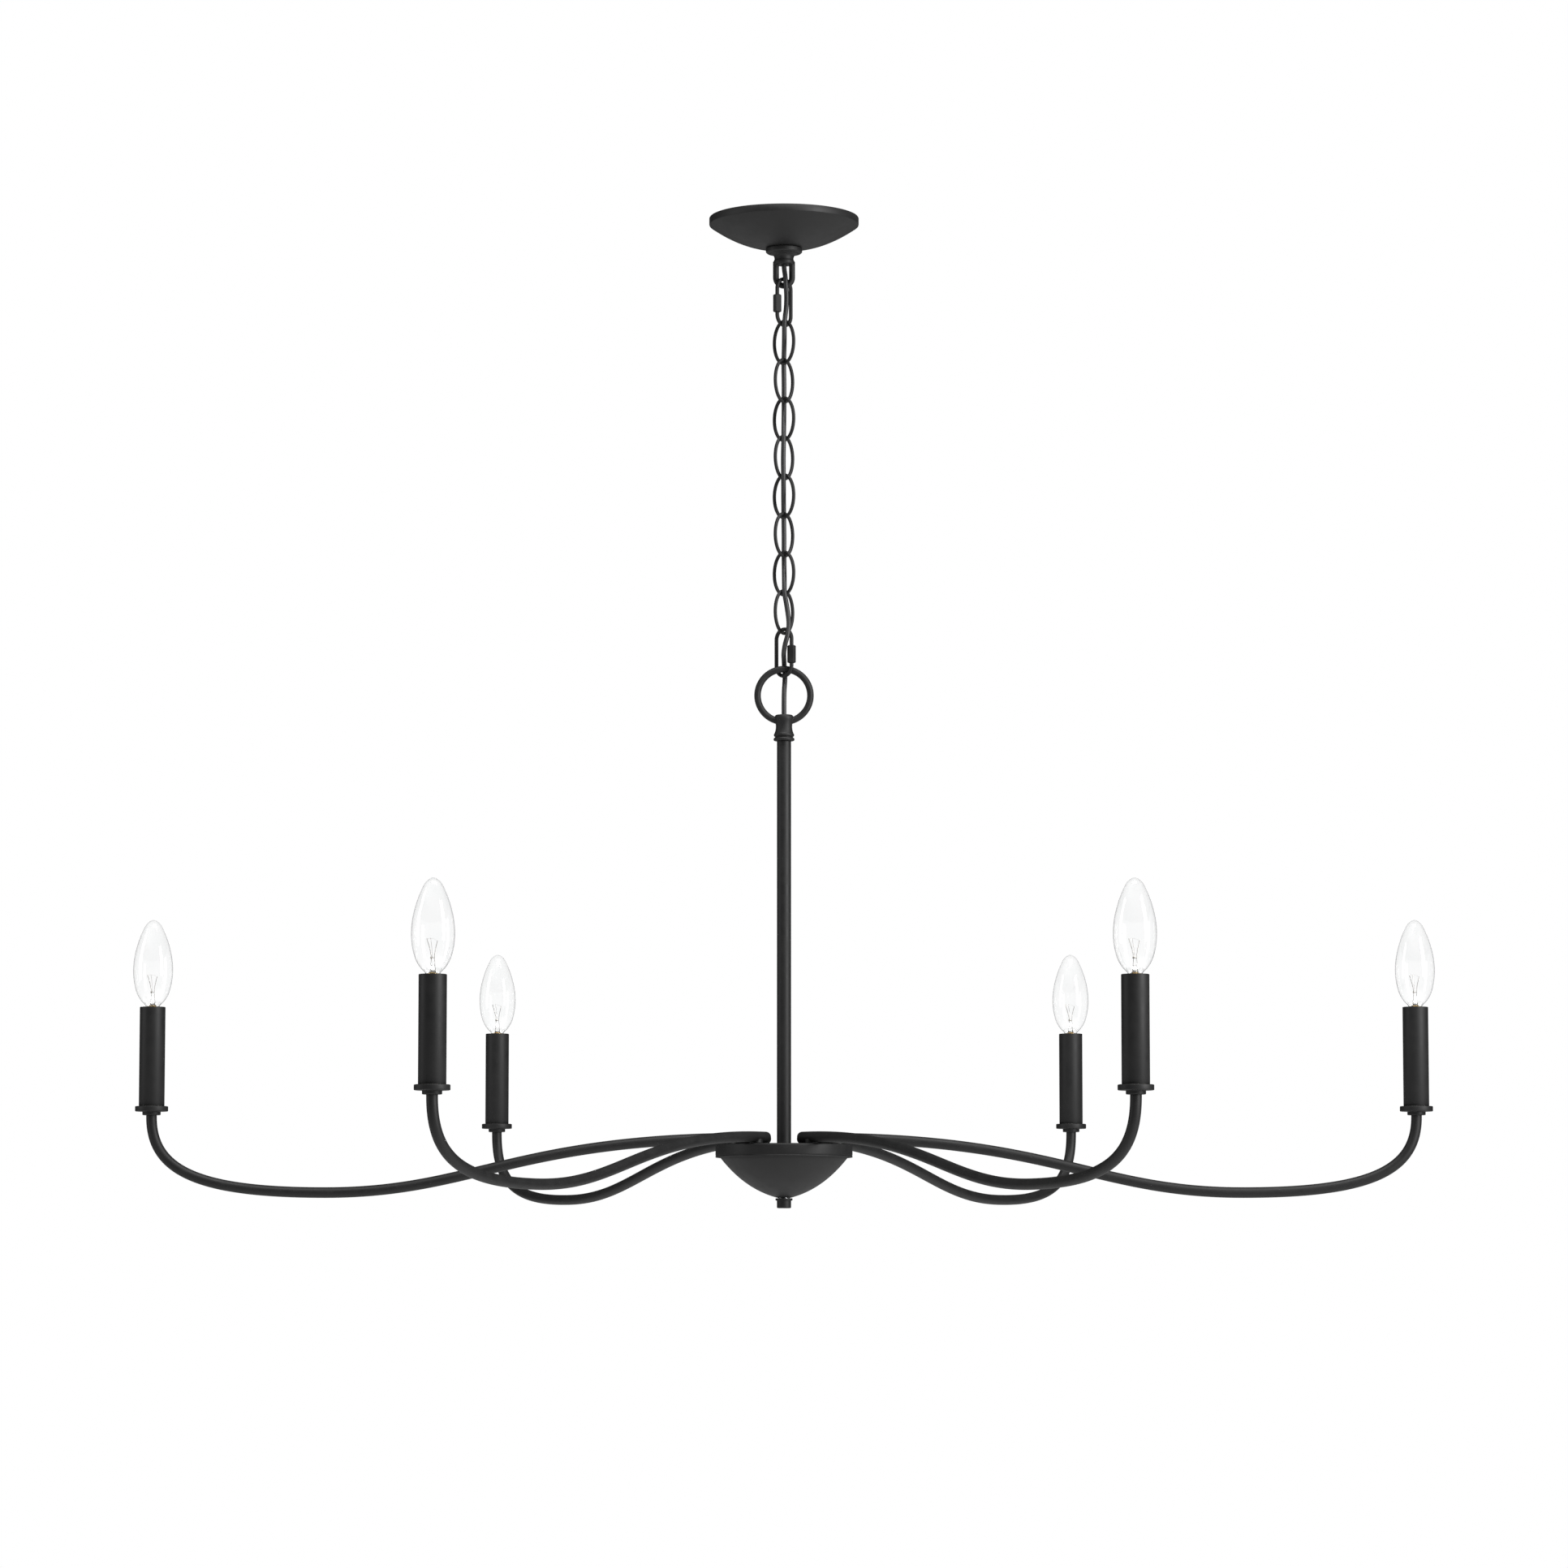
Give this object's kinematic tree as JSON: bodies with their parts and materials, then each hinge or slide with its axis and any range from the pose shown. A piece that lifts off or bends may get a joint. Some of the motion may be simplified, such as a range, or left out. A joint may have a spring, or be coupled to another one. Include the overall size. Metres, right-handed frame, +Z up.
{
  "type": "multi arm chandelier",
  "caption": "Candle chandelier with slim curved arms around a shallow bowl hub, hung on a straight stem, a link chain and a domed ceiling canopy.",
  "frame": {"origin": "on the chandelier's vertical axis, at the ceiling plane that the canopy's rim and the mounting strap's top face meet", "axes": "+Z up; +X along one pair of opposite arms, to the right seen from the front; -Y towards the front"},
  "size_m": [1.122, 0.9762, 0.8625],
  "materials": {
    "black_metal": "matte black powder coat",
    "zinc_steel": "zinc plated",
    "green_screw": "green passivated",
    "cord_jacket": "smooth black jacket",
    "socket_plastic": "moulded phenolic",
    "clear_glass": "clear"
  },
  "bodies": {
    "fixing": {"mounting_strap": "zinc_steel", "box_screw_left": "zinc_steel", "box_screw_right": "zinc_steel", "ground_screw": "green_screw", "ceiling_pipe": "zinc_steel", "ceiling_pipe_nut": "zinc_steel", "collar_loop": "black_metal", "supply_cord": "cord_jacket"},
    "canopy": {"canopy": "black_metal", "collar_ring": "black_metal"},
    "quick_link_top": {"quick_link_top": "black_metal"},
    "quick_link_top_nut": {"quick_link_top_nut": "black_metal"},
    "chain_link_1": {"chain_link_1": "black_metal"},
    "chain_link_2": {"chain_link_2": "black_metal"},
    "chain_link_3": {"chain_link_3": "black_metal"},
    "chain_link_4": {"chain_link_4": "black_metal"},
    "chain_link_5": {"chain_link_5": "black_metal"},
    "chain_link_6": {"chain_link_6": "black_metal"},
    "chain_link_7": {"chain_link_7": "black_metal"},
    "chain_link_8": {"chain_link_8": "black_metal"},
    "quick_link_bottom": {"quick_link_bottom": "black_metal"},
    "quick_link_bottom_nut": {"quick_link_bottom_nut": "black_metal"},
    "pendant": {"ring_loop": "black_metal", "centre_stem": "black_metal", "hub_plate": "black_metal", "arm_nut_ring": "zinc_steel", "centre_pipe": "zinc_steel", "centre_pipe_nut": "zinc_steel", "arm_1": "black_metal", "drip_cup_1": "black_metal", "candle_sleeve_1": "black_metal", "socket_1": "socket_plastic", "arm_2": "black_metal", "drip_cup_2": "black_metal", "candle_sleeve_2": "black_metal", "socket_2": "socket_plastic", "arm_3": "black_metal", "drip_cup_3": "black_metal", "candle_sleeve_3": "black_metal", "socket_3": "socket_plastic", "arm_4": "black_metal", "drip_cup_4": "black_metal", "candle_sleeve_4": "black_metal", "socket_4": "socket_plastic", "arm_5": "black_metal", "drip_cup_5": "black_metal", "candle_sleeve_5": "black_metal", "socket_5": "socket_plastic", "arm_6": "black_metal", "drip_cup_6": "black_metal", "candle_sleeve_6": "black_metal", "socket_6": "socket_plastic"},
    "bowl": {"hub_bowl": "black_metal", "finial": "black_metal"},
    "bulb_1": {"bulb_1": "clear_glass"},
    "bulb_2": {"bulb_2": "clear_glass"},
    "bulb_3": {"bulb_3": "clear_glass"},
    "bulb_4": {"bulb_4": "clear_glass"},
    "bulb_5": {"bulb_5": "clear_glass"},
    "bulb_6": {"bulb_6": "clear_glass"}
  },
  "joints": [
    {"name": "bail_swing", "type": "hinge", "parent": "fixing", "child": "quick_link_top", "pos_m": [0, 0, -0.0596], "axis": [0.866, -0.5, 0], "range_deg": [-30, 30], "deforming": ["supply_cord"]},
    {"name": "first_link_swing", "type": "hinge", "parent": "quick_link_top", "child": "chain_link_1", "pos_m": [0, 0, -0.0946], "axis": [-0.6691, -0.7431, 0], "range_deg": [-30, 30], "deforming": ["supply_cord"]},
    {"name": "link_2_swing", "type": "hinge", "parent": "chain_link_1", "child": "chain_link_2", "pos_m": [0, 0, -0.12826], "axis": [-0.7431, 0.6691, 0], "range_deg": [-30, 30], "deforming": ["supply_cord"]},
    {"name": "link_3_swing", "type": "hinge", "parent": "chain_link_2", "child": "chain_link_3", "pos_m": [0, 0, -0.16212], "axis": [0.6691, 0.7431, 0], "range_deg": [-30, 30], "deforming": ["supply_cord"]},
    {"name": "link_4_swing", "type": "hinge", "parent": "chain_link_3", "child": "chain_link_4", "pos_m": [0, 0, -0.19599], "axis": [0.7431, -0.6691, 0], "range_deg": [-30, 30], "deforming": ["supply_cord"]},
    {"name": "link_5_swing", "type": "hinge", "parent": "chain_link_4", "child": "chain_link_5", "pos_m": [0, 0, -0.22985], "axis": [-0.6691, -0.7431, 0], "range_deg": [-30, 30], "deforming": ["supply_cord"]},
    {"name": "link_6_swing", "type": "hinge", "parent": "chain_link_5", "child": "chain_link_6", "pos_m": [0, 0, -0.26371], "axis": [-0.7431, 0.6691, 0], "range_deg": [-30, 30], "deforming": ["supply_cord"]},
    {"name": "link_7_swing", "type": "hinge", "parent": "chain_link_6", "child": "chain_link_7", "pos_m": [0, 0, -0.29757], "axis": [0.6691, 0.7431, 0], "range_deg": [-30, 30], "deforming": ["supply_cord"]},
    {"name": "link_8_swing", "type": "hinge", "parent": "chain_link_7", "child": "chain_link_8", "pos_m": [0, 0, -0.33144], "axis": [0.7431, -0.6691, 0], "range_deg": [-30, 30], "deforming": ["supply_cord"]},
    {"name": "lower_quick_link_swing", "type": "hinge", "parent": "chain_link_8", "child": "quick_link_bottom", "pos_m": [0, 0, -0.3653], "axis": [-0.6691, -0.7431, 0], "range_deg": [-30, 30], "deforming": ["supply_cord"]},
    {"name": "pendant_swing", "type": "hinge", "parent": "quick_link_bottom", "child": "pendant", "pos_m": [0, 0, -0.4024], "axis": [-0.309, 0.9511, 0], "range_deg": [-30, 30], "deforming": ["supply_cord"]},
    {"name": "canopy_drop", "type": "slide", "parent": "fixing", "child": "canopy", "axis": [0, 0, -1], "range_m": [0, 0.025]},
    {"name": "bowl_drop", "type": "slide", "parent": "pendant", "child": "bowl", "axis": [0, 0, -1], "range_m": [0, 0.05]},
    {"name": "quick_link_top_nut_travel", "type": "slide", "parent": "quick_link_top", "child": "quick_link_top_nut", "axis": [0, 0, 1], "range_m": [0, 0.007]},
    {"name": "quick_link_bottom_nut_travel", "type": "slide", "parent": "quick_link_bottom", "child": "quick_link_bottom_nut", "axis": [0, 0, 1], "range_m": [0, 0.007]},
    {"name": "bulb_1_out", "type": "slide", "parent": "pendant", "child": "bulb_1", "axis": [0, 0, 1], "range_m": [0, 0.03]},
    {"name": "bulb_2_out", "type": "slide", "parent": "pendant", "child": "bulb_2", "axis": [0, 0, 1], "range_m": [0, 0.03]},
    {"name": "bulb_3_out", "type": "slide", "parent": "pendant", "child": "bulb_3", "axis": [0, 0, 1], "range_m": [0, 0.03]},
    {"name": "bulb_4_out", "type": "slide", "parent": "pendant", "child": "bulb_4", "axis": [0, 0, 1], "range_m": [0, 0.03]},
    {"name": "bulb_5_out", "type": "slide", "parent": "pendant", "child": "bulb_5", "axis": [0, 0, 1], "range_m": [0, 0.03]},
    {"name": "bulb_6_out", "type": "slide", "parent": "pendant", "child": "bulb_6", "axis": [0, 0, 1], "range_m": [0, 0.03]}
  ]
}
